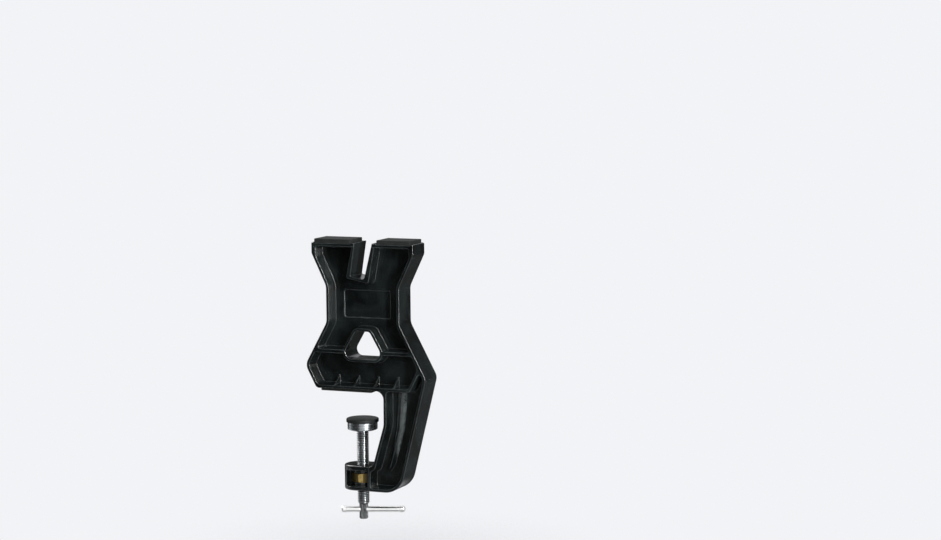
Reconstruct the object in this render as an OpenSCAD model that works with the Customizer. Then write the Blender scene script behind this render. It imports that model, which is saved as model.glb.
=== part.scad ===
// Clamp-on ski vise. One moulded bracket stands on the bench edge, a screw below the bench pulls it down,
// and the ski lies on the rubber pads at the top or stands on edge in the slanted slot between them.
// Millimetres. X runs across the broad face, Y into the depth, Z up.
// The origin is on the screw's axis at the bench top, which is also the underside of the foot's rubber.

/* [Bracket] */
// Depth of the moulding from its front face to its back face
body_depth = 24; // [20:1:26]
// Width of the rims around the pockets
rim_w = 2.6; // [2.2:0.2:3.2]
// Thickness of the web in the middle of the depth
web_t = 2.6; // [2:0.2:4]
// How far each pocket wall leans in from the rim to the web
draft = 1.4; // [0.4:0.2:1.6]
// Soft edge along every rim
edge = 0.5; // [0.3:0.1:0.6]
// Centre line of the head and the waist
head_x = 6.85; // [6:0.25:8]
// Half of the head's width below the pads
head_half = 46.2; // [44:0.5:48]
// Height of the head's top wall above the bench
head_top = 124.3; // [122:0.5:128]
// Length of the upright sides of the head
head_side = 9.3; // [7:0.5:12]
// Half of the waist's width
waist_half = 33.25; // [32:0.25:35]
// Height of the waist's upper corners
waist_top = 88; // [84:0.5:90]
// Height of the waist's lower corners
waist_bottom = 57.4; // [55:0.5:61]
// Rounding of the waist's corners
waist_r = 11; // [6:1:14]

/* [Foot] */
// Centre line of the foot
foot_x = 5.97; // [5:0.25:7]
// Half of the foot's widest place
foot_half = 52.6; // [50:0.5:54]
// Height of the foot's widest place
foot_wide_z = 21; // [19:0.5:23]
// Half of the length of the foot's flat underside
foot_flat_half = 42.6; // [40:0.5:44]
// Height of the moulding's underside above the bench
foot_z = 1.8; // [1.4:0.2:2.4]
// Thickness of the foot's floor at the rim
floor_t = 2.8; // [2.2:0.2:3.4]
// Height of the shelf's upper edge
shelf_z = 35.1; // [34:0.5:37]
// Thickness of the shelf at the rim
shelf_t = 3.2; // [2.4:0.2:4]
// Distance between the four gussets on the floor
gusset_pitch = 17.97; // [15:0.5:18.5]
// Thickness of a gusset
gusset_t = 1.9; // [1.4:0.1:2.6]
// Height of a gusset at the web
gusset_h = 7.9; // [5:0.5:10]

/* [Ski slot] */
// Inner width of the slot at its floor, across its centre line
slot_w = 12.7; // [12:0.1:13.5]
// Inner width of the slot at the top, across its centre line
slot_top_w = 15.2; // [14:0.1:16]
// Depth of the slot below the head's top wall
slot_depth = 29; // [24:1:31]
// Lean of the slot to the right
slot_tilt = 11.5; // [8:0.5:12]
// Place of the slot's centre at the head's top wall
slot_x = 8.05; // [7:0.05:9]

/* [Hand hole] */
// Height of the hole's lower edge
hole_z = 27.8; // [27:0.2:29]
// Height of the hole
hole_h = 23.1; // [20:0.5:24]
// Half of the hole's width along the bottom, corners counted
hole_bottom_half = 19.6; // [17:0.2:20]
// Half of the hole's width along the top, corners counted
hole_top_half = 6.25; // [5:0.25:7.5]

/* [Panel and arm ridge] */
// Length of the bare panel on the waist
panel_w = 42.3; // [36:0.5:43]
// Height of the bare panel
panel_h = 23.2; // [18:0.5:24]
// Depth of the panel's recess in the web
panel_t = 0.8; // [0.4:0.1:1.2]
// How far the ridge on the arm stands out of the web
arm_ridge_h = 3.5; // [2:0.25:4.5]

/* [Arm and screw boss] */
// Distance from the screw's axis to the arm beside the bench edge
throat = 24.7; // [24:0.2:27]
// Height of the bend in the arm's inner edge
throat_bend_z = -26.6; // [-30:0.5:-24]
// Upper side of the screw boss
boss_top = -62.5; // [-63:0.5:-60]
// Height of the screw boss
boss_h = 20.5; // [19.5:0.5:22.5]
// Distance from the screw's axis to the boss's free end
boss_reach = 15.8; // [15:0.1:16.5]
// Place of the arm's outer edge at the bench top, corner counted
arm_out_x = 60.1; // [58:0.5:61]
// Place of the arm's lower outer corner, rounding counted
arm_low_x = 39.1; // [38:0.5:42]
// Rounding of the arm's lower outer corner
arm_low_r = 18; // [10:1:20]

/* [Rubber pads] */
// Height of the pads' upper side above the head's top wall
pad_stand = 2.9; // [2:0.1:4]
// Inset of the pads from the head's outer sides
pad_inset = 2.35; // [1.8:0.1:4]
// Depth of the seat that each pad lies in
pad_seat = 0.8; // [0.4:0.1:1.2]
// Length of the rubber strip under the foot
foot_strip_l = 46.5; // [40:0.5:47]

/* [Screw and nut] */
// Outer diameter of the screw's thread
screw_d = 10; // [9:0.5:10]
// Width across the flats of the nut
nut_af = 17; // [16:0.5:17]
// Height of the nut
nut_h = 8; // [7:0.5:8.4]
// Gap left for the bench at rest, which is the bench's thickness in the photograph
bench_t = 23.4; // [20:0.2:30]
// Length of the thread between the swivel pad and the head
thread_l = 62; // [60:0.5:64]
// Diameter of the head at the screw's lower end
head_d = 7.4; // [7.2:0.1:8.4]
// Length of the head
head_l = 13; // [12:0.5:16]

/* [Swivel pad] */
// Diameter of the plastic cap
cap_d = 27.2; // [24:0.2:30]
// Height of the plastic cap with its skirt
cap_h = 3.1; // [2.6:0.1:4]
// Height of the swivel pad from the cap's top to the cup's underside
swivel_h = 10.1; // [9:0.1:11]

/* [Tommy bar] */
// Diameter of the bar
bar_d = 5; // [4:0.1:5]
// Length of the bar over its ends
bar_l = 53.5; // [46:0.5:60]
// Turn of the bar about the screw's axis at rest
bar_turn = 21; // [0:1:90]
// How far the bar is slid to the right at rest
bar_slid = 8; // [0:0.5:12]
// Length of each end cap
bar_end_l = 4.5; // [4:0.1:6]
// Diameter of each end cap
bar_end_d = 5.6; // [5.4:0.1:6.4]

/* [Hidden] */
// Smoothness of round parts
$fn = 96;
// Largest turn between two points of a rounded outline corner, in degrees
arc_step = 8;
// Radial clearance of the running fits
run_gap = 0.05;
// Radial clearance of the pieces that are pressed together
press_gap = 0.02;
// Clearance between a seated piece and the sides of its seat
seat_gap = 0.15;
// Space between a moving piece and what it passes
free_gap = 0.3;
// Overlap of a cutter past the face that it cuts
past = 0.3;
// Overlap of two moulded features inside one another
into = 0.5;
// The moulded features inside the rim end this far behind its face
set_back = 0.35;

half_depth = body_depth / 2;
boss_proud = 0.25;
// The boss's free end is round: its flat part starts behind the round part
boss_end_r = half_depth + boss_proud - 0.05;
boss_root_x = boss_end_r + 1 - boss_reach;
boss_bottom = boss_top - boss_h;
floor_z = foot_z + floor_t;
shelf_under = shelf_z - shelf_t;

// Vectors and outlines. An outline is a list of [x, z, radius], counter-clockwise as seen from the front.
function unit(v) = v / norm(v);
function xz(p) = [p[0], p[1]];
function corner(a, p, b, r) =
    let (u = unit(a - p), v = unit(b - p))
    let (open = acos(u * v), turn = 180 - open)
    let (start = p + u * r * tan(turn / 2), mid = p + unit(u + v) * r / sin(open / 2))
    let (side = sign(cross(p - a, b - p)), from = atan2(start[1] - mid[1], start[0] - mid[0]))
    let (steps = max(1, ceil(turn / arc_step)))
    [for (i = [0:steps]) mid + r * [cos(from + side * turn * i / steps), sin(from + side * turn * i / steps)]];
function rounded(path) =
    let (n = len(path))
    [for (i = [0:n - 1])
        let (p = path[i], a = xz(path[(i + n - 1) % n]), b = xz(path[(i + 1) % n]))
        each (p[2] > 0 ? corner(a, xz(p), b, p[2]) : [xz(p)])];
function outward(a, b) = let (d = unit(b - a)) [d[1], -d[0]];
function grown(pts, by) =
    let (n = len(pts))
    [for (i = [0:n - 1])
        let (na = outward(xz(pts[(i + n - 1) % n]), xz(pts[i])), nb = outward(xz(pts[i]), xz(pts[(i + 1) % n])))
        xz(pts[i]) + by * (na + nb) / (1 + na * nb)];
function with_r(p, r) = [p[0], p[1], r];
function at_z(a, b, z) = a + (b - a) * (z - a[1]) / (b[1] - a[1]);
function at_x(a, b, x) = a + (b - a) * (x - a[0]) / (b[0] - a[0]);
function flip_x(p, about) = [2 * about - p[0], p[1]];
function cross_point(a, b, c, d) =
    let (r = b - a, s = d - c)
    a + r * cross(c - a, s) / cross(r, s);
function in_y(pts, y) = [for (p = pts) [p[0], y, p[1]]];
function in_z(pts, z) = [for (p = pts) [p[0], p[1], z]];

// Ears of a flat outline: the triangles that fill it, found one corner at a time
function in_corner(q, a, b, c) =
    cross(b - a, q - a) > 0 && cross(c - b, q - b) > 0 && cross(a - c, q - c) > 0;
function is_ear(pts, ring, m) =
    let (n = len(ring), i = ring[(m + n - 1) % n], j = ring[m], k = ring[(m + 1) % n])
    let (a = pts[i], b = pts[j], c = pts[k])
    cross(b - a, c - b) > 0
        && len([for (t = ring) if (t != i && t != j && t != k && in_corner(pts[t], a, b, c)) t]) == 0;
function next_ear(pts, ring, m) = m >= len(ring) - 1 || is_ear(pts, ring, m) ? m : next_ear(pts, ring, m + 1);
function ears(pts, ring, done = []) =
    let (n = len(ring))
    n == 3 ? concat(done, [ring]) :
    let (m = next_ear(pts, ring, 1), corner_of = [ring[(m + n - 1) % n], ring[m], ring[(m + 1) % n]])
    ears(pts, [for (t = [m + 1:m + n - 1]) ring[t % n]], concat(done, [corner_of]));
function filled(pts) = ears(pts, [for (i = [0:len(pts) - 1]) i]);
function flat(ring) = let (upright = ring[0][1] == ring[1][1] && ring[1][1] == ring[2][1])
    [for (p = ring) [p[0], upright ? p[2] : p[1]]];

// A solid through a list of rings that all have the same number of points
module loft(rings) {
    n = len(rings[0]);
    last = len(rings) - 1;
    polyhedron(
        points = [for (ring = rings) each ring],
        faces = concat(
            filled(flat(rings[0])),
            [for (t = filled(flat(rings[last]))) [t[2] + last * n, t[1] + last * n, t[0] + last * n]],
            [for (j = [0:last - 1], i = [0:n - 1]) [j * n + i, (j + 1) * n + (i + 1) % n, j * n + (i + 1) % n]],
            [for (j = [0:last - 1], i = [0:n - 1]) [j * n + i, (j + 1) * n + i, (j + 1) * n + (i + 1) % n]]
        ),
        convexity = 8
    );
}

module both_faces() {
    children();
    mirror([0, 1, 0])
        children();
}

// The outline of the whole moulding, corner by corner
foot_low_left = [foot_x - foot_flat_half, foot_z];
foot_wide_left = [foot_x - foot_half, foot_wide_z];
waist_low_left = [head_x - waist_half, waist_bottom];
waist_high_left = [head_x - waist_half, waist_top];
head_low_left = [head_x - head_half, head_top - head_side];
head_high_left = [head_x - head_half, head_top];
head_high_right = flip_x(head_high_left, head_x);
head_low_right = flip_x(head_low_left, head_x);
waist_high_right = flip_x(waist_high_left, head_x);
waist_low_right = flip_x(waist_low_left, head_x);
arm_low = [arm_low_x, boss_bottom];
arm_lean = (arm_out_x - arm_low_x) / (0 - boss_bottom);
hip_lean = (foot_half - waist_half) / (waist_bottom - foot_wide_z);
arm_far = [arm_low_x + arm_lean * (shelf_z - boss_bottom), shelf_z];
hip_far = [waist_low_right[0] + hip_lean * waist_bottom, 0];
hip_right = cross_point(waist_low_right, hip_far, arm_low, arm_far);
throat_top = [throat + 0.1, foot_z];
throat_bend = [throat, throat_bend_z];
throat_low = [throat - 0.295 * (throat_bend_z - boss_top), boss_top];
boss_root_high = [boss_root_x, boss_top];
boss_root_low = [boss_root_x, boss_bottom];

foot_r = 4;
foot_wide_r = 9;
hip_r = 9;
head_r = 5;
head_top_r = 1.5;
throat_r = 7;
bend_r = 16;
boss_fillet_r = 5;

outline = [
    with_r(foot_low_left, foot_r),
    with_r(throat_top, throat_r),
    with_r(throat_bend, bend_r),
    with_r(throat_low, boss_fillet_r),
    with_r(boss_root_high, 0),
    with_r(boss_root_low, 0),
    with_r(arm_low, arm_low_r),
    with_r(hip_right, hip_r),
    with_r(waist_low_right, waist_r),
    with_r(waist_high_right, waist_r),
    with_r(head_low_right, head_r),
    with_r(head_high_right, head_top_r),
    with_r(head_high_left, head_top_r),
    with_r(head_low_left, head_r),
    with_r(waist_high_left, waist_r),
    with_r(waist_low_left, waist_r),
    with_r(foot_wide_left, foot_wide_r)
];

// The same corners moved in by one rim: the pockets are drawn between them
rim = grown(outline, -rim_w);
rim_foot_low = rim[0];
rim_bend = rim[2];
rim_throat_low = rim[3];
rim_arm_low = rim[6];
rim_hip = rim[7];
rim_waist_low_right = rim[8];
rim_waist_high_right = rim[9];
rim_head_low_right = rim[10];
rim_head_high_right = rim[11];
rim_head_high_left = rim[12];
rim_head_low_left = rim[13];
rim_waist_high_left = rim[14];
rim_waist_low_left = rim[15];
rim_foot_wide = rim[16];

// Smallest corner of a pocket, wide enough for the lean of its walls
pocket_r = draft + 0.5;

// The pocket of the head and the waist ends on the shelf. The head's walls are thicker than the rims.
head_side_extra = 1.3;
head_top_extra = 0.7;
pocket_side_right = rim_head_low_right[0] - head_side_extra;
pocket_side_left = rim_head_low_left[0] + head_side_extra;
pocket_top = rim_head_high_right[1] - head_top_extra;
upper_pocket = [
    with_r(at_z(rim_waist_low_left, rim_foot_wide, shelf_z), pocket_r),
    with_r(at_z(rim_waist_low_right, rim_hip, shelf_z), pocket_r),
    with_r(rim_waist_low_right, waist_r + rim_w),
    with_r(rim_waist_high_right, waist_r + rim_w),
    with_r(at_x(rim_waist_high_right, rim_head_low_right, pocket_side_right), head_r),
    with_r([pocket_side_right, pocket_top], pocket_r),
    with_r([pocket_side_left, pocket_top], pocket_r),
    with_r(at_x(rim_waist_high_left, rim_head_low_left, pocket_side_left), head_r),
    with_r(rim_waist_high_left, waist_r + rim_w),
    with_r(rim_waist_low_left, waist_r + rim_w)
];

// The pocket of the foot: its right wall mirrors the left one and runs out into the arm's rim
rim_floor_left = at_z(rim_foot_wide, rim_foot_low, floor_z);
rim_floor_right = flip_x(rim_floor_left, foot_x);
rim_foot_wide_right = flip_x(rim_foot_wide, foot_x);
foot_pocket = [
    with_r(rim_floor_left, 4),
    with_r(rim_floor_right, 5),
    with_r(rim_foot_wide_right, foot_wide_r),
    with_r(at_z(rim_waist_low_right, rim_hip, shelf_under), pocket_r),
    with_r(at_z(rim_waist_low_left, rim_foot_wide, shelf_under), pocket_r),
    with_r(rim_foot_wide, foot_wide_r - rim_w)
];

// The pocket of the arm, from the underside of the foot down to the screw boss
end_wall_low = flip_x(foot_low_left, foot_x);
end_wall_high = flip_x(foot_wide_left, foot_x);
wedge_tip = cross_point(end_wall_low, end_wall_high, rim_waist_low_right, rim_hip);
boss_wall = 11.9;
arm_pocket = [
    with_r([boss_wall, boss_bottom + rim_w], pocket_r),
    with_r(rim_arm_low, arm_low_r - rim_w),
    with_r(rim_hip, hip_r - rim_w),
    with_r(wedge_tip, pocket_r),
    with_r(end_wall_low, 5),
    with_r([rim_bend[0] + 0.1, foot_z], 3),
    with_r(rim_bend, bend_r),
    with_r(rim_throat_low, boss_fillet_r),
    with_r([boss_wall + 0.4, boss_top - 4], 2)
];

// A pocket in the front face: straight lip, leaning walls, flat bottom on the web
module pocket(path) {
    pts = rounded(path);
    loft([
        in_y(grown(pts, -draft), -web_t / 2),
        in_y(pts, edge - half_depth),
        in_y(grown(pts, edge + past), -half_depth - past)
    ]);
}

// A boss on the front side of the web with leaning walls and a soft outer edge
boss_draft = draft * 0.7;
module web_boss(path) {
    pts = rounded(path);
    loft([
        in_y(grown(pts, boss_draft), into - web_t / 2),
        in_y(pts, set_back + edge - half_depth),
        in_y(grown(pts, -edge), set_back - half_depth)
    ]);
}

// A cut right through the depth with rounded lips on both faces
module through_cut(path, lip) {
    pts = rounded(path);
    face = half_depth - set_back;
    wide = lip + set_back + past;
    loft([
        in_y(grown(pts, wide), half_depth + past),
        in_y(grown(pts, lip), face),
        in_y(grown(pts, lip * 0.3), face - lip * 0.3),
        in_y(pts, face - lip),
        in_y(pts, lip - face),
        in_y(grown(pts, lip * 0.3), lip * 0.3 - face),
        in_y(grown(pts, lip), -face),
        in_y(grown(pts, wide), -half_depth - past)
    ]);
}

// The moulding before its pockets, with soft edges along both faces
module blank() {
    pts = rounded(outline);
    loft([
        in_y(grown(pts, -edge), half_depth),
        in_y(grown(pts, -edge * 0.3), half_depth - edge * 0.3),
        in_y(pts, half_depth - edge),
        in_y(pts, edge - half_depth),
        in_y(grown(pts, -edge * 0.3), edge * 0.3 - half_depth),
        in_y(grown(pts, -edge), -half_depth)
    ]);
}

// The ski slot: a channel that leans to the right and opens towards the top
lean = tan(slot_tilt);
slot_floor_mid = [slot_x - slot_depth * lean, head_top - slot_depth];
function slot_point(across, up) =
    slot_floor_mid + across * [cos(slot_tilt), -sin(slot_tilt)] + up * [sin(slot_tilt), cos(slot_tilt)];
// A wall of the slot is given by its distances from the centre line at the floor and at the top
function slot_side(wall, z) = at_z(slot_point(wall[0], 0), slot_point(wall[1], slot_depth), z);
slot_right = [slot_w / 2, slot_top_w / 2];
slot_left = -slot_right;
slot_right_out = slot_right + [rim_w + 2, rim_w + 0.3];
slot_left_out = slot_left - [rim_w + 0.95, rim_w - 0.3];
slot_floor_t = 2.35;
slot_wall_path = [
    with_r(slot_point(slot_left_out[0], -slot_floor_t), 1.2),
    with_r(slot_point(slot_right_out[0], -slot_floor_t), 2),
    with_r(slot_side(slot_right_out, head_top - 1.2), 0),
    with_r(slot_side(slot_left_out, head_top - 1.2), 0)
];
slot_path = [
    with_r(slot_point(slot_left[0], 0), 1.2),
    with_r(slot_point(slot_right[0], 0), 2.4),
    with_r(slot_side(slot_right, head_top + 6), 0),
    with_r(slot_side(slot_left, head_top + 6), 0)
];

// The hand hole: a triangle with a flat top and round corners
hole_path = [
    with_r([head_x - 0.65 - hole_bottom_half, hole_z], 5.6),
    with_r([head_x - 0.65 + hole_bottom_half, hole_z], 5.6),
    with_r([head_x - 0.65 + hole_top_half, hole_z + hole_h], 3.6),
    with_r([head_x - 0.65 - hole_top_half, hole_z + hole_h], 3.6)
];
hole_raw = grown(hole_path, rim_w);
hole_wall_path = [
    with_r(hole_raw[0], 5.6 + rim_w),
    with_r(hole_raw[1], 5.6 + rim_w),
    with_r(hole_raw[2], 3.6 + rim_w),
    with_r(hole_raw[3], 3.6 + rim_w)
];

// A gusset between the floor and the web, thinner towards the face
function gusset_section(x, half, high) = [
    [x - half, floor_z - 1],
    [x + half, floor_z - 1],
    [x + half, floor_z + high],
    [x - half, floor_z + high]
];
module gusset(x) {
    root = gusset_section(x, gusset_t / 2, gusset_h);
    loft([
        in_y(root, into - web_t / 2),
        in_y(root, -web_t / 2),
        in_y(gusset_section(x, gusset_t * 0.35, 0.3), 2 * edge - half_depth)
    ]);
}

// The bare panel: a shallow recess in the waist's web, on the front face only
panel_x = 6.45;
panel_z = 72.7;
panel_r = 2;
panel_lean = 0.3;
panel_path = [
    with_r([panel_x - panel_w / 2, panel_z - panel_h / 2], panel_r),
    with_r([panel_x + panel_w / 2, panel_z - panel_h / 2], panel_r),
    with_r([panel_x + panel_w / 2, panel_z + panel_h / 2], panel_r),
    with_r([panel_x - panel_w / 2, panel_z + panel_h / 2], panel_r)
];
module panel_recess() {
    pts = rounded(panel_path);
    loft([
        in_y(grown(pts, -panel_lean), panel_t - web_t / 2),
        in_y(pts, -web_t / 2),
        in_y(pts, -web_t / 2 - past)
    ]);
}

// The ridge that runs down the arm's web from the foot: [middle x, z, half of its width at the web]
arm_ridge_foot = [
    [38.2, foot_z + 1, 4],
    [37.2, -12.3, 4],
    [36, -28.9, 3.7],
    [31.2, -48.7, 3.2],
    [27.7, -60.8, 2.6],
    [25.6, -66.5, 0.6]
];
// Its crest: the same stations, with the last one pulled up
arm_ridge_crest = [
    [38.2, foot_z + 1, 0.6],
    [37.2, -12.3, 0.6],
    [36, -28.9, 0.55],
    [31.2, -48.7, 0.45],
    [27.9, -60.1, 0.35],
    [26.6, -63.6, 0.2]
];
function strip(stations) =
    let (n = len(stations))
    concat(
        [for (i = [n - 1:-1:0]) [stations[i][0] + stations[i][2], stations[i][1]]],
        [for (i = [0:n - 1]) [stations[i][0] - stations[i][2], stations[i][1]]]
    );
module arm_ridge() {
    loft([
        in_y(strip(arm_ridge_foot), into - web_t / 2),
        in_y(strip(arm_ridge_foot), -web_t / 2),
        in_y(strip(arm_ridge_crest), -web_t / 2 - arm_ridge_h)
    ]);
}

// The screw boss: a block with a round free end and soft upper and lower edges
boss_plan = [
    with_r([-boss_reach, -half_depth - boss_proud], boss_end_r),
    with_r([boss_wall - 0.3, -half_depth - boss_proud], 1.4),
    with_r([boss_wall - 0.3, half_depth + boss_proud], 1.4),
    with_r([-boss_reach, half_depth + boss_proud], boss_end_r)
];
module screw_boss() {
    pts = rounded(boss_plan);
    low = boss_bottom - boss_proud;
    high = boss_top + boss_proud;
    loft([
        in_z(grown(pts, -1.2), low),
        in_z(grown(pts, -0.4), low + 0.35),
        in_z(pts, low + 1.2),
        in_z(pts, high - 1.2),
        in_z(grown(pts, -0.4), high - 0.35),
        in_z(grown(pts, -1.2), high)
    ]);
}

// The nut's cage: the nut lies on the lower ledge, and the side walls hold its flats
nut_drop = 10.6;
nut_mid_z = boss_top - nut_drop;
nut_z = nut_mid_z - nut_h / 2;
cage_half_h = 6.8;
cage_half_w = 9.9;
cage_x = -0.9;
ledge_r = 9;
cage_wide_from = 2.5;
screw_bore_r = screw_d / 2 + free_gap;
cage_path = [
    with_r([cage_x - cage_half_w, nut_mid_z - cage_half_h], 1.1),
    with_r([cage_x + cage_half_w, nut_mid_z - cage_half_h], 1.1),
    with_r([cage_x + cage_half_w, nut_mid_z + cage_half_h], 1.1),
    with_r([cage_x - cage_half_w, nut_mid_z + cage_half_h], 1.1)
];
module cage_cut() {
    pts = rounded(cage_path);
    out = half_depth + boss_proud;
    difference() {
        union() {
            both_faces()
                loft([
                    in_y(pts, -cage_wide_from),
                    in_y(pts, edge - out),
                    in_y(grown(pts, edge + past), -out - past)
                ]);
            translate([-nut_af / 2 - 0.1, -cage_wide_from - into, nut_mid_z - cage_half_h])
                cube([nut_af + 0.2, 2 * (cage_wide_from + into), 2 * cage_half_h]);
        }
        translate([0, 0, nut_mid_z - cage_half_h - past])
            cylinder(r = ledge_r, h = nut_z - (nut_mid_z - cage_half_h - past));
        translate([0, 0, nut_z + nut_h + free_gap])
            cylinder(r = ledge_r, h = cage_half_h);
    }
}

// Seats for the rubber: two in the head's top wall and one under the foot
pad_low = head_top - pad_seat;
pad_left_from = head_x - head_half + pad_inset;
pad_right_to = head_x + head_half - pad_inset;
pad_left_to = slot_side(slot_left_out, head_top)[0] - 1.2;
pad_right_from = slot_side(slot_right_out, head_top)[0] + 1.2;
foot_strip_from = -32.5;
foot_strip_to = foot_strip_from + foot_strip_l;
foot_seat = 0.6;
module seat(from, to, low, high) {
    translate([from - seat_gap, -body_depth, low])
        cube([to - from + 2 * seat_gap, 2 * body_depth, high - low]);
}

module bracket() {
    color([0.05, 0.055, 0.055])
        difference() {
            union() {
                difference() {
                    blank();
                    both_faces() {
                        pocket(upper_pocket);
                        pocket(foot_pocket);
                        pocket(arm_pocket);
                    }
                }
                both_faces() {
                    web_boss(slot_wall_path);
                    web_boss(hole_wall_path);
                    for (i = [-1.5:1:1.5])
                        gusset(head_x - 0.2 + i * gusset_pitch);
                    arm_ridge();
                }
                screw_boss();
            }
            panel_recess();
            through_cut(slot_path, edge * 0.8);
            through_cut(hole_path, edge * 1.8);
            cage_cut();
            translate([0, 0, boss_bottom - boss_proud - past])
                cylinder(r = screw_bore_r, h = boss_h + 2 * (boss_proud + past));
            seat(pad_left_from, pad_left_to, pad_low, head_top + past);
            seat(pad_right_from, pad_right_to, pad_low, head_top + past);
            seat(foot_strip_from, foot_strip_to, foot_z - past, foot_z + foot_seat);
        }
}

// A rubber pad: a bar with soft upper edges
module rubber_bar(from, to, low, high, half, soft) {
    path = [
        with_r([from, -half], 1),
        with_r([to, -half], 1),
        with_r([to, half], 1),
        with_r([from, half], 1)
    ];
    pts = rounded(path);
    loft([
        in_z(pts, low),
        in_z(pts, high - soft),
        in_z(grown(pts, -soft * 0.3), high - soft * 0.3),
        in_z(grown(pts, -soft), high)
    ]);
}

pad_half_depth = half_depth - 0.4;
module top_pad_left() {
    color([0.09, 0.09, 0.09])
        rubber_bar(pad_left_from, pad_left_to, pad_low, head_top + pad_stand, pad_half_depth, 0.6);
}

module top_pad_right() {
    color([0.09, 0.09, 0.09])
        rubber_bar(pad_right_from, pad_right_to, pad_low, head_top + pad_stand, pad_half_depth, 0.6);
}

module foot_strip() {
    color([0.12, 0.12, 0.115])
        mirror([0, 0, 1])
            rubber_bar(foot_strip_from, foot_strip_to, -foot_z - foot_seat, 0, pad_half_depth, 0.4);
}

// A hexagon nut with the corners turned down at both ends
nut_corner_r = nut_af / 2 / cos(30);
nut_top_r = nut_af / 2 * 0.97;
module clamp_nut() {
    color([0.72, 0.58, 0.28])
        translate([0, 0, nut_z])
            difference() {
                intersection() {
                    rotate([0, 0, 30])
                        cylinder(r = nut_corner_r, h = nut_h, $fn = 6);
                    rotate_extrude()
                        polygon([
                            [0, 0],
                            [nut_top_r, 0],
                            [nut_corner_r + 0.1, 1],
                            [nut_corner_r + 0.1, nut_h - 1],
                            [nut_top_r, nut_h],
                            [0, nut_h]
                        ]);
                }
                translate([0, 0, -past])
                    cylinder(r = screw_d / 2 + run_gap, h = nut_h + 2 * past);
            }
}

// The swivel pad: a turned cup holds the screw's flared end, and a plastic cap is pressed over the cup
cap_top = -bench_t;
cap_r = cap_d / 2;
cap_plate = 2.2;
cup_top = cap_top - cap_plate;
cup_low = cap_top - swivel_h;
cup_r = cap_r - 1;
cup_neck_r = 3.68;
cup_floor = 2.5;
cavity_r = 6;
module swivel_cap() {
    color([0.04, 0.04, 0.042])
        rotate_extrude()
            polygon([
                [0, cup_top],
                [cup_r - 0.5 + press_gap, cup_top],
                [cup_r - 0.5 + press_gap, cap_top - cap_h],
                [cap_r - 0.3, cap_top - cap_h],
                [cap_r, cap_top - cap_h + 0.3],
                [cap_r, cap_top - 0.9],
                [cap_r - 0.25, cap_top - 0.3],
                [cap_r - 0.9, cap_top],
                [0, cap_top]
            ]);
}

groove_h = 0.7;
groove_deep = 0.45;
groove_1 = cap_top - cap_h - 1.5;
groove_2 = groove_1 - 2.2;
cup_side_low = cup_low + 1.4;
module swivel_cup() {
    color([0.72, 0.73, 0.74])
        rotate_extrude()
            polygon([
                [cup_neck_r, cup_low],
                [cup_r * 0.62, cup_low],
                [cup_r * 0.86, cup_low + 0.3],
                [cup_r - 0.35, cup_low + 0.8],
                [cup_r, cup_side_low],
                [cup_r, groove_2 - groove_h],
                [cup_r - groove_deep, groove_2 - groove_h + 0.15],
                [cup_r - groove_deep, groove_2 - 0.15],
                [cup_r, groove_2],
                [cup_r, groove_1 - groove_h],
                [cup_r - groove_deep, groove_1 - groove_h + 0.15],
                [cup_r - groove_deep, groove_1 - 0.15],
                [cup_r, groove_1],
                [cup_r, cap_top - cap_h - press_gap],
                [cup_r - 0.5, cap_top - cap_h - press_gap],
                [cup_r - 0.5, cup_top],
                [cavity_r, cup_top],
                [cavity_r, cup_low + cup_floor],
                [cup_neck_r, cup_low + cup_floor]
            ]);
}

// The screw: flared end in the cup, turned neck, thread, and a spigot inside the head
neck_r = cup_neck_r - 0.08;
flare_r = 5.5;
thread_top = cup_low - free_gap;
thread_low = thread_top - thread_l;
head_low = thread_low - head_l;
bar_z = thread_low - 5.3;
spigot_r = 2.9;
spigot_low = head_low + 1.8;
module bar_hole() {
    translate([0, 0, bar_z])
        rotate([0, 0, bar_turn])
            rotate([0, 90, 0])
                cylinder(r = bar_d / 2 + run_gap, h = 4 * head_d, center = true);
}

module clamp_screw() {
    color([0.7, 0.71, 0.72])
        difference() {
            rotate_extrude()
                polygon([
                    [0, spigot_low],
                    [spigot_r, spigot_low],
                    [spigot_r, thread_low],
                    [screw_d / 2 - 0.9, thread_low],
                    [screw_d / 2, thread_low + 0.9],
                    [screw_d / 2, thread_top - 0.9],
                    [screw_d / 2 - 0.9, thread_top],
                    [neck_r, thread_top],
                    [neck_r, cup_low + cup_floor + 0.2],
                    [flare_r, cup_low + cup_floor + 0.2],
                    [flare_r, cup_top - 1],
                    [flare_r - 0.9, cup_top - 0.1],
                    [0, cup_top - 0.1]
                ]);
            bar_hole();
        }
}

module screw_head() {
    head_r_mm = head_d / 2;
    color([0.06, 0.06, 0.065])
        difference() {
            rotate_extrude()
                polygon([
                    [0, head_low],
                    [head_r_mm - 0.7, head_low],
                    [head_r_mm, head_low + 0.6],
                    [head_r_mm, thread_low - 0.6],
                    [head_r_mm - 0.5, thread_low],
                    [spigot_r + press_gap, thread_low],
                    [spigot_r + press_gap, spigot_low - 0.1],
                    [0, spigot_low - 0.1]
                ]);
            bar_hole();
        }
}

// The tommy bar with a pressed-on cap at each end
bar_rod_half = bar_l / 2 - bar_end_l;
peg_r = bar_d / 2 - 0.6;
peg_l = 3;
module along_bar() {
    translate([0, 0, bar_z])
        rotate([0, 0, bar_turn])
            translate([bar_slid, 0, 0])
                rotate([0, 90, 0])
                    children();
}

module tommy_bar() {
    color([0.74, 0.75, 0.76])
        along_bar()
            rotate_extrude()
                polygon([
                    [0, -bar_rod_half - peg_l],
                    [peg_r, -bar_rod_half - peg_l],
                    [peg_r, -bar_rod_half],
                    [bar_d / 2, -bar_rod_half],
                    [bar_d / 2, bar_rod_half],
                    [peg_r, bar_rod_half],
                    [peg_r, bar_rod_half + peg_l],
                    [0, bar_rod_half + peg_l]
                ]);
}

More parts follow.
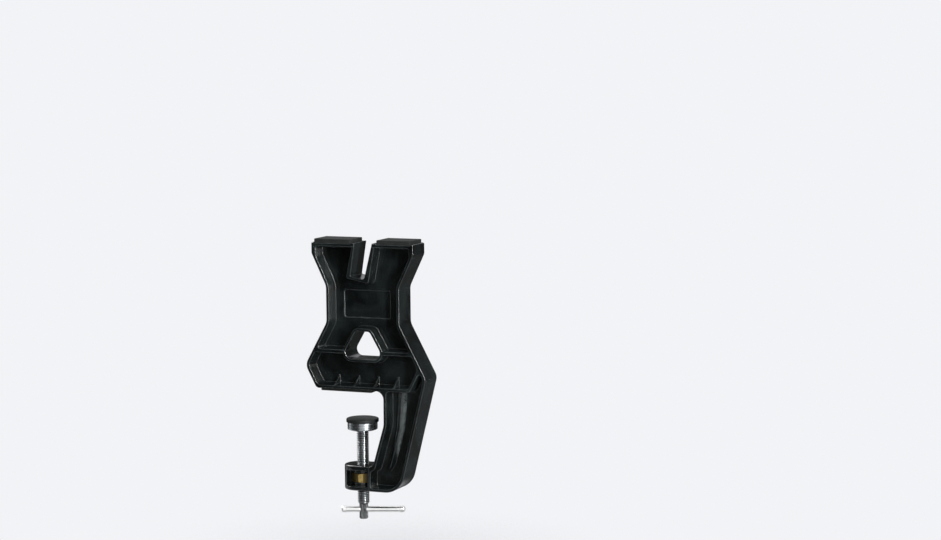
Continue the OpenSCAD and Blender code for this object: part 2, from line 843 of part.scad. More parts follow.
module bar_end() {
    end_r = bar_end_d / 2;
    color([0.74, 0.75, 0.76])
        along_bar()
            rotate_extrude()
                polygon([
                    [peg_r + press_gap, bar_rod_half],
                    [end_r - 0.35, bar_rod_half],
                    [end_r, bar_rod_half + 0.35],
                    [end_r, bar_l / 2 - 1.4],
                    [end_r * 0.86, bar_l / 2 - 0.55],
                    [end_r * 0.5, bar_l / 2],
                    [0, bar_l / 2],
                    [0, bar_rod_half + peg_l + 0.1],
                    [peg_r + press_gap, bar_rod_half + peg_l + 0.1]
                ]);
}

module bar_end_right() {
    bar_end();
}

module bar_end_left() {
    translate([0, 0, bar_z])
        rotate([0, 0, bar_turn])
            translate([bar_slid, 0, 0])
                rotate([0, 0, 180])
                    translate([-bar_slid, 0, 0])
                        rotate([0, 0, -bar_turn])
                            translate([0, 0, -bar_z])
                                bar_end();
}

bracket();
top_pad_left();
top_pad_right();
foot_strip();
clamp_nut();
swivel_cap();
swivel_cup();
clamp_screw();
screw_head();
tommy_bar();
bar_end_left();
bar_end_right();
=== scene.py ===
# %% [markdown]
# # A clamp-on tuning vise
# The real vise is one black moulding that stands on a flat edge, with a plated screw below that clamps it
# there. A mesh of it could be imported by hand, and here model.glb is imported with the names of its CAD
# nodes, so that each piece made here lands where the CAD says. Everything is in metres in the CAD's frame: X
# across the broad face, Y away from the camera, Z up, and the origin on the screw's axis, level with the
# foot's underside.

# %% Load the fixed frame
import math

import bmesh
import bpy
from mathutils import Matrix, Vector


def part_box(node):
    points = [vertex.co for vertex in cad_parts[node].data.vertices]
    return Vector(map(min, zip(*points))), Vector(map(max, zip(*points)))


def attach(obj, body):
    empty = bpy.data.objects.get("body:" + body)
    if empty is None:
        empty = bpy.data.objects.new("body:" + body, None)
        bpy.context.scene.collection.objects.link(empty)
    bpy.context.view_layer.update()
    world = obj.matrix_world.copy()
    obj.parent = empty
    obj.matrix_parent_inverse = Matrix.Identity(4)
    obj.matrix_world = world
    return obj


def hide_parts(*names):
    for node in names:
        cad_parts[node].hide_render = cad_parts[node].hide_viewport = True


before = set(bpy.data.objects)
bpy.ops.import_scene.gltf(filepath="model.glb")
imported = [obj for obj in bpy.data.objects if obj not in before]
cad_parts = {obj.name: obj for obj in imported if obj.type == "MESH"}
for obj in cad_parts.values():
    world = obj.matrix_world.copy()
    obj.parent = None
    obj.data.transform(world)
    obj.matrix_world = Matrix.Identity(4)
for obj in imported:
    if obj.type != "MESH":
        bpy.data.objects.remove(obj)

MM = 0.001
scene = bpy.context.scene
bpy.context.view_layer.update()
print("CAD nodes:", ", ".join(sorted(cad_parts)))

# %% [markdown]
# ## The camera
# The photograph was matched with points that are seen on the vise, which gave a long lens: 2300 pixels of
# focal length on a picture 941 pixels wide. The camera stands 23 degrees to the right of the broad face and
# looks down by 6 degrees. A Track To constraint could aim it, but that keeps the picture upright, and the
# matched camera is rolled by half a degree. Its three directions in a rotation matrix place it exactly.

# %% Camera
PICTURE_W = 941
FOCAL_PX = 2300.0
SENSOR_MM = 36.0
camera_right = Vector((0.92270487, 0.38540815, -0.00873362))
camera_up = Vector((-0.03343386, 0.10257239, 0.99416351))
camera_back = Vector((0.38405454, -0.91702752, 0.10752973))
camera_place = Vector((0.81741, -1.71537, 0.30530))

camera_data = bpy.data.cameras.new("photo_camera")
camera_data.sensor_fit = "HORIZONTAL"
camera_data.sensor_width = SENSOR_MM
camera_data.lens = FOCAL_PX / PICTURE_W * SENSOR_MM
camera_data.clip_start = 0.05
camera_data.clip_end = 60
camera = bpy.data.objects.new("photo_camera", camera_data)
scene.collection.objects.link(camera)
camera.matrix_world = Matrix.Translation(camera_place) @ Matrix(
    (camera_right, camera_up, camera_back)).transposed().to_4x4()
scene.camera = camera
print("lens", round(camera_data.lens, 2), "mm")

# %% [markdown]
# ## Colours
# A colour is written as the sRGB hex value that a paint chart or a picture gives, but Blender's sockets want
# linear light. The linear numbers could be typed in, and then nobody could tell the colour from them, so one
# function makes them from the hex value. The first colour is the pale grey that the floor and the world show.


# %% Colours
def linear(hex_colour):
    """An sRGB hex colour as the linear RGBA that a socket takes."""
    channels = [int(hex_colour[i:i + 2], 16) / 255 for i in (1, 3, 5)]
    light = [c / 12.92 if c <= 0.04045 else ((c + 0.055) / 1.055) ** 2.4 for c in channels]
    return (*light, 1.0)


BACKGROUND = "#F2F3F6"
print("background in linear light:", [round(c, 3) for c in linear(BACKGROUND)[:3]])

# %% [markdown]
# ## One helper for nodes
# A finish could be clicked together in the Shader Editor. In a script a node takes several lines, so one
# small function adds a node of any kind with its settings, values and links, and each finish below reads as
# a list of what it is made of. A colour ramp also takes its stops. A second one clears the tree of a new
# material or world, which starts with nodes of its own.


# %% Node helpers
def add(tree, kind, settings=None, values=None, links=None, stops=None):
    """Adds a node: settings are its properties, values its sockets, links {socket: output}, and stops the
    (position, hex colour) pairs of a colour ramp."""
    node = tree.nodes.new(kind)
    for name, value in (settings or {}).items():
        setattr(node, name, value)
    for name, value in (values or {}).items():
        node.inputs[name].default_value = value
    for name, output in (links or {}).items():
        tree.links.new(output, node.inputs[name])
    if stops:
        ramp = node.color_ramp.elements
        ramp[0].position, ramp[0].color = stops[0][0], linear(stops[0][1])
        ramp[1].position, ramp[1].color = stops[-1][0], linear(stops[-1][1])
        for position, colour in stops[1:-1]:
            ramp.new(position).color = linear(colour)
    return node


def empty_tree(owner):
    """The cleared node tree of a material or a world."""
    owner.use_nodes = True
    owner.node_tree.nodes.clear()
    return owner.node_tree


print("node helpers ready")

# %% [markdown]
# ## The floor
# The floor is one even pale grey, and lies below the lowest place that the screw reaches. A lit matt floor
# would turn darker away from the lamps. So a Light Path node tells the rays apart: the camera, reflections
# and glass see a glow of the one grey, while the rays that carry light meet a matt floor, which sends a soft
# light up from below. A glow takes no shadow, so an Ambient Occlusion node darkens it a little where the
# vise stands close above.

# %% Floor
FLOOR_Z = -0.140
FLOOR_HALF = 14.0
SHADOW_REACH = 0.2


def seen_directly(tree):
    """1 for a ray of the camera, of a reflection or of glass, and 0 for a ray that carries light."""
    ray = add(tree, "ShaderNodeLightPath")
    seen = add(tree, "ShaderNodeMath", {"operation": "MAXIMUM"},
               links={0: ray.outputs["Is Camera Ray"], 1: ray.outputs["Is Glossy Ray"]})
    seen = add(tree, "ShaderNodeMath", {"operation": "MAXIMUM"},
               links={0: seen.outputs[0], 1: ray.outputs["Is Transmission Ray"]})
    return seen.outputs[0]


pale_floor = bpy.data.materials.new("pale_studio_floor")
tree = empty_tree(pale_floor)
seen = seen_directly(tree)
matt = add(tree, "ShaderNodeBsdfDiffuse", values={"Color": linear("#C9CACC")})
shade = add(tree, "ShaderNodeAmbientOcclusion", {"samples": 4}, {
    "Color": linear(BACKGROUND), "Distance": SHADOW_REACH})
glow = add(tree, "ShaderNodeEmission", values={"Strength": 1.0}, links={"Color": shade.outputs["Color"]})
mix = add(tree, "ShaderNodeMixShader", links={0: seen, 1: matt.outputs[0], 2: glow.outputs[0]})
add(tree, "ShaderNodeOutputMaterial", links={"Surface": mix.outputs[0]})

floor_mesh = bpy.data.meshes.new("floor")
floor_mesh.from_pydata([(-FLOOR_HALF, -FLOOR_HALF, FLOOR_Z), (FLOOR_HALF, -FLOOR_HALF, FLOOR_Z),
                        (FLOOR_HALF, FLOOR_HALF, FLOOR_Z), (-FLOOR_HALF, FLOOR_HALF, FLOOR_Z)],
                       [], [(0, 1, 2, 3)])
floor = bpy.data.objects.new("floor", floor_mesh)
scene.collection.objects.link(floor)
floor_mesh.materials.append(pale_floor)
print("floor at", FLOOR_Z, "m")

# %% [markdown]
# ## The world
# Beyond the floor the same grey goes on. A backdrop could carry it, but a world needs no mesh and has no
# edge. The same ray test makes it full grey where it is seen and weak where it lights, so that the lamps and
# not the sky shape the vise. The Standard view transform shows a colour as it is written.

# %% World
SKY_LIGHT = 0.16
world = bpy.data.worlds.new("studio")
scene.world = world
sky = empty_tree(world)
seen = seen_directly(sky)
dim = add(sky, "ShaderNodeBackground", values={"Color": linear("#FFFFFF"), "Strength": SKY_LIGHT})
pale = add(sky, "ShaderNodeBackground", values={"Color": linear(BACKGROUND), "Strength": 1.0})
mix = add(sky, "ShaderNodeMixShader", links={0: seen, 1: dim.outputs[0], 2: pale.outputs[0]})
add(sky, "ShaderNodeOutputWorld", links={"Surface": mix.outputs[0]})
scene.view_settings.view_transform = "Standard"
print("world lights at", SKY_LIGHT, "and shows at 1.0")

# %% [markdown]
# ## The lamps
# A black glossy thing is lit by what it reflects. Point lamps would leave small hard sparks on it, so the
# lamps are soft rectangles, placed so that mostly the rounded edges catch them. A tall narrow one on the
# right draws the thin bright lines, a square one above it fills the faces a little, and a third one, high on
# the left, lights the back.

# %% Lamps
VISE_MIDDLE = Vector((0.005, 0.0, 0.01))


def lamp(name, place, width, height, watts):
    """A soft rectangular lamp that looks at the vise."""
    data = bpy.data.lights.new(name, "AREA")
    data.shape = "RECTANGLE"
    data.size, data.size_y = width, height
    data.energy = watts
    item = bpy.data.objects.new(name, data)
    scene.collection.objects.link(item)
    aim = (VISE_MIDDLE - Vector(place)).to_track_quat("-Z", "Y")
    item.matrix_world = Matrix.Translation(Vector(place)) @ aim.to_matrix().to_4x4()


lamp("right_front_strip", (1.01, -0.73, 0.40), 0.11, 1.1, 64)
lamp("key_softbox", (0.70, -0.75, 1.15), 0.4, 0.4, 10)
lamp("back_left_softbox", (-1.00, 0.50, 1.10), 0.8, 0.7, 34)
print("lamps:", len(bpy.data.lights))

# %% [markdown]
# ## The cards
# Photographers put dark cards round a black thing, so that its faces stay black. Real cards would also shade
# the floor and hide it, so these show only in reflections. They are black felt in front and on the left, and
# a dark grey board behind on the right, which the sides of the moulding reflect. Some lie flat just above
# the floor and keep its pale grey out of the moulding, and a narrow one lies along the bar.


# %% Card finishes
def new_finish(name):
    """A new material, its node tree, and a Principled shader that is linked to the output."""
    finish = bpy.data.materials.new(name)
    tree = empty_tree(finish)
    out = add(tree, "ShaderNodeOutputMaterial")
    shader = add(tree, "ShaderNodeBsdfPrincipled")
    tree.links.new(shader.outputs["BSDF"], out.inputs["Surface"])
    return finish, tree, shader


def card_finish(name, glow):
    """Black felt, or with some glow a board that sends back an even grey."""
    finish, tree, shader = new_finish(name)
    shader.inputs["Base Color"].default_value = linear("#050505")
    shader.inputs["Roughness"].default_value = 1.0
    shader.inputs["Emission Color"].default_value = linear("#FBFDFF")
    shader.inputs["Emission Strength"].default_value = glow
    return finish


black_felt = card_finish("black_felt_card", 0.0)
grey_board = card_finish("grey_board_card", 0.04)
print("card finishes:", black_felt.name, grey_board.name)

# %% [markdown]
# A card is a rectangle that faces the vise, or lies flat with a turn about Z. Object visibility hides it
# from every ray but the glossy ones, which is simpler than a ray test in its material.

# %% Cards
CARD_Z = FLOOR_Z + 0.002
BAR_TURN_DEGREES = 21


def card(name, place, width, height, finish, turn=None):
    """A card that only reflections see. With a turn in degrees it lies flat."""
    mesh = bpy.data.meshes.new(name)
    w, h = width / 2, height / 2
    mesh.from_pydata([(-w, -h, 0), (w, -h, 0), (w, h, 0), (-w, h, 0)], [], [(0, 1, 2, 3)])
    item = bpy.data.objects.new(name, mesh)
    scene.collection.objects.link(item)
    if turn is None:
        aim = (VISE_MIDDLE - Vector(place)).to_track_quat("Z", "Y").to_matrix().to_4x4()
    else:
        aim = Matrix.Rotation(math.radians(turn), 4, "Z")
    item.matrix_world = Matrix.Translation(Vector(place)) @ aim
    for rays in ("camera", "diffuse", "shadow", "transmission"):
        setattr(item, "visible_" + rays, False)
    mesh.materials.append(finish)


card("card_front_left", (-0.50, -1.0, 0.12), 1.1, 1.0, black_felt)
card("card_back_left", (-0.65, 1.15, 0.1), 1.4, 0.6, black_felt)
card("card_back_right", (0.85, 1.15, 0.4), 1.6, 1.2, grey_board)
card("card_low_back_left", (-0.45, 0.87, CARD_Z), 1.0, 1.5, black_felt, turn=0)
card("card_low_back_right", (0.75, 0.87, CARD_Z), 1.4, 1.5, grey_board, turn=0)
card("card_low_front", (-0.55, -0.62, CARD_Z), 1.1, 0.9, black_felt, turn=0)
card("card_under_bar", (0.018, -0.024, CARD_Z), 0.2, 0.03, black_felt, turn=BAR_TURN_DEGREES)

# %% [markdown]
# ## Black moulded nylon
# The bracket is injection moulded from nylon filled with glass, which holds its shape when a clamp pulls on
# it. The colour is black all through. The mould is spark-eroded, so the skin has an even grain and a satin
# gloss that wanders a little where the plastic flowed. Its colour has darker and paler patches, partly random
# tone and partly painted sheen, and its edges, convex and concave alike, are painted greyer: partly the wear
# of handling, partly painted highlight. The grain of such a mould is about 0.1 mm, too fine to show, so it is
# drawn 0.35 mm wide. The edges could be rounded with a Bevel modifier, which would cut across the ribs' many
# small faces. A Bevel node rounds them in the shading as the mould's small radii do, and it also finds the
# edges for the painted wear and highlight. The cap on the screw's cup is turned from black nylon. The lathe
# leaves it duller than a mould does, so its roughness is higher.

# %% Moulded nylon
FLOW_AND_SHEEN_MM = 30
SCUFF_MM = 5
NOISE_LOW, NOISE_HIGH = 0.3, 0.7  # most values of a noise texture lie between these


def glass_filled_nylon(name, colours, rough, grain_mm, round_mm, level):
    """Colours are the skin's darker and paler black, whose patches are partly painted sheen, and its greyer
    edges, partly wear and partly painted highlight.
    """
    finish, tree, shader = new_finish(name)
    place = add(tree, "ShaderNodeTexCoord").outputs["Object"]
    grain = add(tree, "ShaderNodeTexNoise", links={"Vector": place}, values={
        "Scale": 1 / (grain_mm * MM), "Detail": 3.0, "Roughness": 0.6})
    # This noise drives the gloss and the skin's darker and paler patches, which are partly painted sheen.
    flow_and_sheen = add(tree, "ShaderNodeTexNoise", links={"Vector": place}, values={
        "Scale": 1 / (FLOW_AND_SHEEN_MM * MM), "Detail": 4.0, "Roughness": 0.55, "Distortion": 0.9})
    scuffs = add(tree, "ShaderNodeTexNoise", links={"Vector": place}, values={
        "Scale": 1 / (SCUFF_MM * MM), "Detail": 6.0, "Roughness": 0.7})
    rounded = add(tree, "ShaderNodeBevel", {"samples": 6}, {"Radius": round_mm * MM})
    flat = add(tree, "ShaderNodeNewGeometry").outputs["True Normal"]
    facing = add(tree, "ShaderNodeVectorMath", {"operation": "DOT_PRODUCT"},
                 links={0: rounded.outputs["Normal"], 1: flat})
    # The edges that the Bevel node finds, convex and concave alike, get the greyer colour: partly wear,
    # partly painted highlight.
    wear_and_highlight = add(tree, "ShaderNodeMapRange", links={"Value": facing.outputs["Value"]}, values={
        "From Min": 0.75, "From Max": 0.99, "To Min": 1.0, "To Max": 0.0})
    patchy = add(tree, "ShaderNodeMapRange", links={"Value": scuffs.outputs["Fac"]}, values={
        "From Min": 0.35, "From Max": 0.7, "To Min": 0.0, "To Max": 1.0})
    wear_and_highlight_patches = add(tree, "ShaderNodeMath", {"operation": "MULTIPLY"},
                 links={0: wear_and_highlight.outputs["Result"], 1: patchy.outputs["Result"]})
    # The skin's darker and paler patches: partly random tone, partly painted sheen.
    skin = add(tree, "ShaderNodeValToRGB", links={"Fac": flow_and_sheen.outputs["Fac"]},
               stops=[(0.38, colours[0]), (0.64, colours[1])])
    # The greyer edge colour: partly wear, partly painted highlight.
    edge = add(tree, "ShaderNodeMix", {"data_type": "RGBA"}, {7: linear(colours[2])},
               {0: wear_and_highlight_patches.outputs[0], 6: skin.outputs["Color"]})
    gloss = add(tree, "ShaderNodeMapRange", links={"Value": flow_and_sheen.outputs["Fac"]}, values={
        "From Min": NOISE_LOW, "From Max": NOISE_HIGH, "To Min": rough[0], "To Max": rough[1]})
    bump = add(tree, "ShaderNodeBump", values={"Strength": 0.12, "Distance": 0.08 * MM},
               links={"Height": grain.outputs["Fac"], "Normal": rounded.outputs["Normal"]})
    tree.links.new(edge.outputs[2], shader.inputs["Base Color"])
    tree.links.new(gloss.outputs["Result"], shader.inputs["Roughness"])
    tree.links.new(bump.outputs["Normal"], shader.inputs["Normal"])
    shader.inputs["IOR"].default_value = 1.53
    shader.inputs["Specular IOR Level"].default_value = level
    return finish


# The third colour of each nylon is its greyer edge: partly wear, partly painted highlight.
moulded_nylon = glass_filled_nylon("glass_filled_nylon_moulded", ("#030404", "#0C1010", "#404646"),
                                   rough=(0.15, 0.25), grain_mm=0.35, round_mm=0.75, level=0.38)
cap_nylon = glass_filled_nylon("black_nylon_turned_cap", ("#070808", "#0B0C0C", "#1C1F1F"),
                               rough=(0.55, 0.68), grain_mm=0.3, round_mm=0.35, level=0.12)
print("nylon finishes:", moulded_nylon.name, cap_nylon.name)

# %% [markdown]
# ## The moulding
# The bracket's head, waist, foot, arm and screw boss are one moulding with a thin web and ribs. Its CAD
# solid has the right shape, in many small flat facets that would show in a gloss. Remeshing would smooth
# them and soften the edges too. So a copy is welded, its coplanar triangles are merged, and it is shaded
# smooth except across real edges, with Weighted Normals that keep the broad faces flat. The copy then stands
# for the CAD node.

# %% Moulding
WELD = 0.004 * MM
COPLANAR = math.radians(0.6)
REAL_EDGE = math.radians(50)

shell = bmesh.new()
shell.from_mesh(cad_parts["bracket"].data)
bmesh.ops.remove_doubles(shell, verts=shell.verts, dist=WELD)
bmesh.ops.dissolve_limit(shell, angle_limit=COPLANAR, verts=shell.verts, edges=shell.edges)
for face in shell.faces:
    face.smooth = True
for rim in shell.edges:
    rim.smooth = len(rim.link_faces) == 2 and rim.calc_face_angle(0.0) < REAL_EDGE
moulding_mesh = bpy.data.meshes.new("moulded_bracket")
shell.to_mesh(moulding_mesh)
shell.free()

moulding = bpy.data.objects.new("moulded_bracket", moulding_mesh)
scene.collection.objects.link(moulding)
even = moulding.modifiers.new("even_normals", "WEIGHTED_NORMAL")
even.keep_sharp = True
even.weight = 100
moulding.data.materials.append(moulded_nylon)
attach(moulding, "vise")
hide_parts("bracket")
print("moulding:", len(moulding.data.polygons), "faces")

# %% [markdown]
# ## Rubber
# The rests on the head and the strip under the foot are cut from black rubber sheet. Rubber is matt and a
# little dusty, and its surface is finely pebbled, so that it grips. The pebbles could be modelled, but they
# are only tenths of a millimetre high, so a Voronoi texture gives them as a bump. They are about 0.5 mm
# wide on the real sheet, and are drawn 1.1 mm wide so that they show. The pieces keep their CAD shapes.

# %% Rubber
PEBBLE_MM = 1.1
DUST_MM = 7


def sheet_rubber(name, colours, rough):
    """Colours are the clean rubber and the dusty one."""
    finish, tree, shader = new_finish(name)
    place = add(tree, "ShaderNodeTexCoord").outputs["Object"]
    pebble = add(tree, "ShaderNodeTexVoronoi", {"feature": "SMOOTH_F1"}, {
        "Scale": 1 / (PEBBLE_MM * MM), "Smoothness": 0.6}, {"Vector": place})
    dust = add(tree, "ShaderNodeTexNoise", links={"Vector": place}, values={
        "Scale": 1 / (DUST_MM * MM), "Detail": 5.0, "Roughness": 0.65})
    skin = add(tree, "ShaderNodeValToRGB", links={"Fac": dust.outputs["Fac"]},
               stops=[(0.3, colours[0]), (0.72, colours[1])])
    gloss = add(tree, "ShaderNodeMapRange", links={"Value": dust.outputs["Fac"]}, values={
        "From Min": NOISE_LOW, "From Max": NOISE_HIGH, "To Min": rough[0], "To Max": rough[1]})
    bump = add(tree, "ShaderNodeBump", values={"Strength": 0.35, "Distance": 0.15 * MM},
               links={"Height": pebble.outputs["Distance"]})
    tree.links.new(skin.outputs["Color"], shader.inputs["Base Color"])
    tree.links.new(gloss.outputs["Result"], shader.inputs["Roughness"])
    tree.links.new(bump.outputs["Normal"], shader.inputs["Normal"])
    shader.inputs["IOR"].default_value = 1.52
    shader.inputs["Specular IOR Level"].default_value = 0.08
    return finish


pad_rubber = sheet_rubber("black_sheet_rubber_cut", ("#0C0D0D", "#171818"), (0.78, 0.92))
strip_rubber = sheet_rubber("grey_black_sheet_rubber_cut", ("#050605", "#0C0D0B"), (0.8, 0.92))
for node, finish in (("top_pad_left", pad_rubber), ("top_pad_right", pad_rubber),
                     ("foot_strip", strip_rubber)):
    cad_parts[node].data.materials[0] = finish
    print(node, "is", finish.name)

# %% [markdown]
# ## Plated steel
# The screw, the cup and the bar are steel with bright zinc or nickel plate, and the nut has yellow
# passivated zinc, golden with brownish and greenish patches. Turning leaves fine rings round the axis and
# drawing leaves lines along a bar. Both stretch the reflections, and the plate varies a little in tone. The
# anisotropic setting could stretch them too, but it shows no single ring. So a noise that is squeezed along
# one axis gives the rings, or for the bar its lines, as a bump. Real ones lie about 0.1 mm apart, and these
# are 0.25 to 0.4 mm so that they show. A metal keeps the default IOR, because its colour carries the
# reflection. The thread's roots are painted black as shade, and the distance from the axis tells them from
# the crests.

# %% Plated steel
ALONG_RING_MM = 12
ROOT_SHADE = "#050505"


def axis_distance(tree, place):
    """The distance from the screw's axis."""
    flat = add(tree, "ShaderNodeVectorMath", {"operation": "MULTIPLY"}, {1: (1, 1, 0)}, {0: place})
    length = add(tree, "ShaderNodeVectorMath", {"operation": "LENGTH"}, links={0: flat.outputs[0]})
    return length.outputs["Value"]


def plated_steel(name, colours, rough, ring_mm, ring_axis, patch_mm, root_shade_radii=None):
    """The optional pair of radii, in mm, between which the thread roots' painted black shade fades out."""
    finish, tree, shader = new_finish(name)
    place = add(tree, "ShaderNodeTexCoord").outputs["Object"]
    patch = add(tree, "ShaderNodeTexNoise", links={"Vector": place}, values={
        "Scale": 1 / (patch_mm * MM), "Detail": 4.0, "Roughness": 0.6})
    squeeze = [1 / (ring_mm * MM) if axis == ring_axis else 1 / (ALONG_RING_MM * MM) for axis in "XYZ"]
    along = add(tree, "ShaderNodeMapping", {"vector_type": "POINT"}, {"Scale": squeeze}, {"Vector": place})
    rings = add(tree, "ShaderNodeTexNoise", links={"Vector": along.outputs["Vector"]}, values={
        "Scale": 1.0, "Detail": 2.0})
    spread = (NOISE_HIGH - NOISE_LOW) / (len(colours) - 1)
    skin = add(tree, "ShaderNodeValToRGB", links={"Fac": patch.outputs["Fac"]},
               stops=[(NOISE_LOW + spread * i, colour) for i, colour in enumerate(colours)]).outputs["Color"]
    # Painted shade: black in the thread's roots, fading out towards the crests.
    if root_shade_radii:
        crest = add(tree, "ShaderNodeMapRange", links={"Value": axis_distance(tree, place)}, values={
            "From Min": root_shade_radii[0] * MM, "From Max": root_shade_radii[1] * MM, "To Min": 0.0, "To Max": 1.0})
        skin = add(tree, "ShaderNodeMix", {"data_type": "RGBA"}, {6: linear(ROOT_SHADE)},
                   {0: crest.outputs["Result"], 7: skin}).outputs[2]
    gloss = add(tree, "ShaderNodeMapRange", links={"Value": rings.outputs["Fac"]}, values={
        "From Min": NOISE_LOW, "From Max": NOISE_HIGH, "To Min": rough[0], "To Max": rough[1]})
    bump = add(tree, "ShaderNodeBump", values={"Strength": 0.15, "Distance": 0.02 * MM},
               links={"Height": rings.outputs["Fac"]})
    tree.links.new(skin, shader.inputs["Base Color"])
    tree.links.new(gloss.outputs["Result"], shader.inputs["Roughness"])
    tree.links.new(bump.outputs["Normal"], shader.inputs["Normal"])
    shader.inputs["Metallic"].default_value = 1.0
    return finish


print("plated steel helper ready")

# %% [markdown]
# The nut, the cup, the bar with its end caps, and the cap on the cup keep their CAD shapes and only get
# their finish here. The screw's finish is made here too, for the thread that comes next.

# %% Finishes of the small parts
yellow_zinc = plated_steel("steel_yellow_zinc_plated", ("#443A22", "#625432", "#544B2C"),
                           rough=(0.34, 0.48), ring_mm=0.35, ring_axis="Z", patch_mm=3)
cup_plate = plated_steel("steel_bright_zinc_turned_cup", ("#84888A", "#A9ADAF"),
                         rough=(0.16, 0.3), ring_mm=0.25, ring_axis="Z", patch_mm=5)
# The screw gets painted black shade in its thread's roots.
screw_plate = plated_steel("steel_bright_zinc_rolled_thread", ("#9A9EA0", "#BCBFC1"),
                           rough=(0.16, 0.28), ring_mm=0.25, ring_axis="Z", patch_mm=4, root_shade_radii=(4.15, 4.8))
bar_plate = plated_steel("steel_bright_nickel_drawn_bar", ("#E6E6E4", "#F6F6F4"),
                         rough=(0.16, 0.26), ring_mm=0.4, ring_axis="Y", patch_mm=6)
for node, finish in (("clamp_nut", yellow_zinc), ("swivel_cup", cup_plate), ("tommy_bar", bar_plate),
                     ("bar_end_left", bar_plate), ("bar_end_right", bar_plate), ("swivel_cap", cap_nylon)):
    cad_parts[node].data.materials[0] = finish
    print(node, "is", finish.name)

# %% [markdown]
# ## A turned skin
# The screw and its head are turned parts. A profile could be spun with a Screw modifier, but that makes
# every ring round, and a thread or a knurl has radii that change round the ring. So a skin is built ring by
# ring, with a radius that may be a number or a function of the angle.

# %% Turned skin helper
SHARP_EDGE = math.radians(40)


def turned_skin(name, rings, sides):
    """A closed skin round Z: rings is a list of (z, radius or function of angle)."""
    shell = bmesh.new()
    rows = []
    for z, radius in rings:
        row = []
        for i in range(sides):
            angle = 2 * math.pi * i / sides
            r = radius(angle) if callable(radius) else radius
            row.append(shell.verts.new((r * math.cos(angle), r * math.sin(angle), z)))
        rows.append(row)
    for low, high in zip(rows, rows[1:]):
        for i in range(sides):
            j = (i + 1) % sides
            shell.faces.new((low[i], low[j], high[j], high[i]))
    shell.faces.new(list(reversed(rows[0])))
    shell.faces.new(rows[-1])
    for face in shell.faces:
        face.smooth = True
    for rim in shell.edges:
        if rim.calc_face_angle(0.0) > SHARP_EDGE:
            rim.smooth = False
    mesh = bpy.data.meshes.new(name)
    shell.to_mesh(mesh)
    shell.free()
    item = bpy.data.objects.new(name, mesh)
    scene.collection.objects.link(item)
    return item


print("turned skin helper ready")

# %% [markdown]
# ## The places on the screw
# The screw runs from its spigot inside the head up to a flared end that the cup holds. Its places could be
# typed from the drawing, but reading them from the CAD nodes' boxes keeps them right when the CAD changes.

# %% Places on the screw
head_low_z, head_top_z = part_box("screw_head")[0].z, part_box("screw_head")[1].z
screw_low_z, screw_top_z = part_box("clamp_screw")[0].z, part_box("clamp_screw")[1].z
cup_low_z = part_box("swivel_cup")[0].z
thread_top_z = cup_low_z - 0.3 * MM
flare_low_z = cup_low_z + 2.7 * MM
thread_length = thread_top_z - head_top_z
print("thread from", round(head_top_z, 5), "to", round(thread_top_z, 5), "m")

# %% [markdown]
# ## The screw's thread
# The screw has an M10 thread of 1.5 mm pitch, rolled into the rod as on most such screws. In the CAD solid it
# is a smooth rod of its outer diameter. A bump texture of slanted lines would look flat from close by, so the
# real helix is formed here: the radius of each point is read from the thread's profile, which climbs by one
# pitch in one turn, so that crests and roots wind round the rod.

# %% Thread profile
THREAD_R = 5.0 * MM
THREAD_PITCH = 1.5 * MM
THREAD_DEEP = 0.92 * MM
THREAD_CHAMFER = 0.9 * MM
ROOT_SHARE, FLANK_SHARE = 0.30, 0.42  # of half a pitch; the crest has the rest


def thread_radius(z):
    """The radius round the rod at height z, as a function of the angle."""
    room = min(z - head_top_z, thread_top_z - z)
    largest = THREAD_R - max(0.0, THREAD_CHAMFER - room)

    def radius(angle):
        phase = (z / THREAD_PITCH - angle / (2 * math.pi)) % 1.0
        climb = abs(phase - 0.5) * 2
        height = min(1.0, max(0.0, (climb - ROOT_SHARE) / FLANK_SHARE))
        return min(largest, THREAD_R - THREAD_DEEP * (1 - height))
    return radius


print("turns:", round(thread_length / THREAD_PITCH, 1))

# %% [markdown]
# The screw's skin is one list of rings from the spigot's end to the flared end. The spigot, the neck and
# the flare are plain rings, and a step between two of them is drawn as a very short cone. Fourteen rings in
# each pitch are enough for smooth flanks.

# %% Threaded screw
RINGS_PER_PITCH = 14
SCREW_SIDES = 56
SPIGOT_R = 2.9 * MM
NECK_R = 3.6 * MM
FLARE_R = 5.5 * MM
FLARE_CHAMFER = 0.9 * MM
STEP = 0.01 * MM

rings = [(screw_low_z, SPIGOT_R), (head_top_z - STEP, SPIGOT_R)]
thread_rings = int(thread_length / THREAD_PITCH * RINGS_PER_PITCH)
for i in range(thread_rings + 1):
    z = head_top_z + thread_length * i / thread_rings
    rings.append((z, thread_radius(z)))
rings += [(thread_top_z + STEP, NECK_R), (flare_low_z, NECK_R), (flare_low_z + STEP, FLARE_R),
          (screw_top_z - FLARE_CHAMFER, FLARE_R), (screw_top_z, FLARE_R - FLARE_CHAMFER)]
threaded_screw = turned_skin("threaded_screw", rings, SCREW_SIDES)
threaded_screw.data.materials.append(screw_plate)
print("threaded screw:", len(threaded_screw.data.polygons), "faces")

# %% [markdown]
# ## The knurled head
# The black head at the screw's lower end is knurled, so that fingers can start the screw. A knurling tool
# presses two families of slanted grooves across each other, which leaves small diamonds. They could be an
# array of small pyramids, but those wouldn't share one skin. Here the two families pull the radius of each
# point inwards. Sixteen grooves of each family lie 1.45 mm apart round the head, which is about as fine as
# the picture can show. From above the head is bored for the screw's spigot, so its skin turns inwards at the
# top and goes down again to the bore's floor.

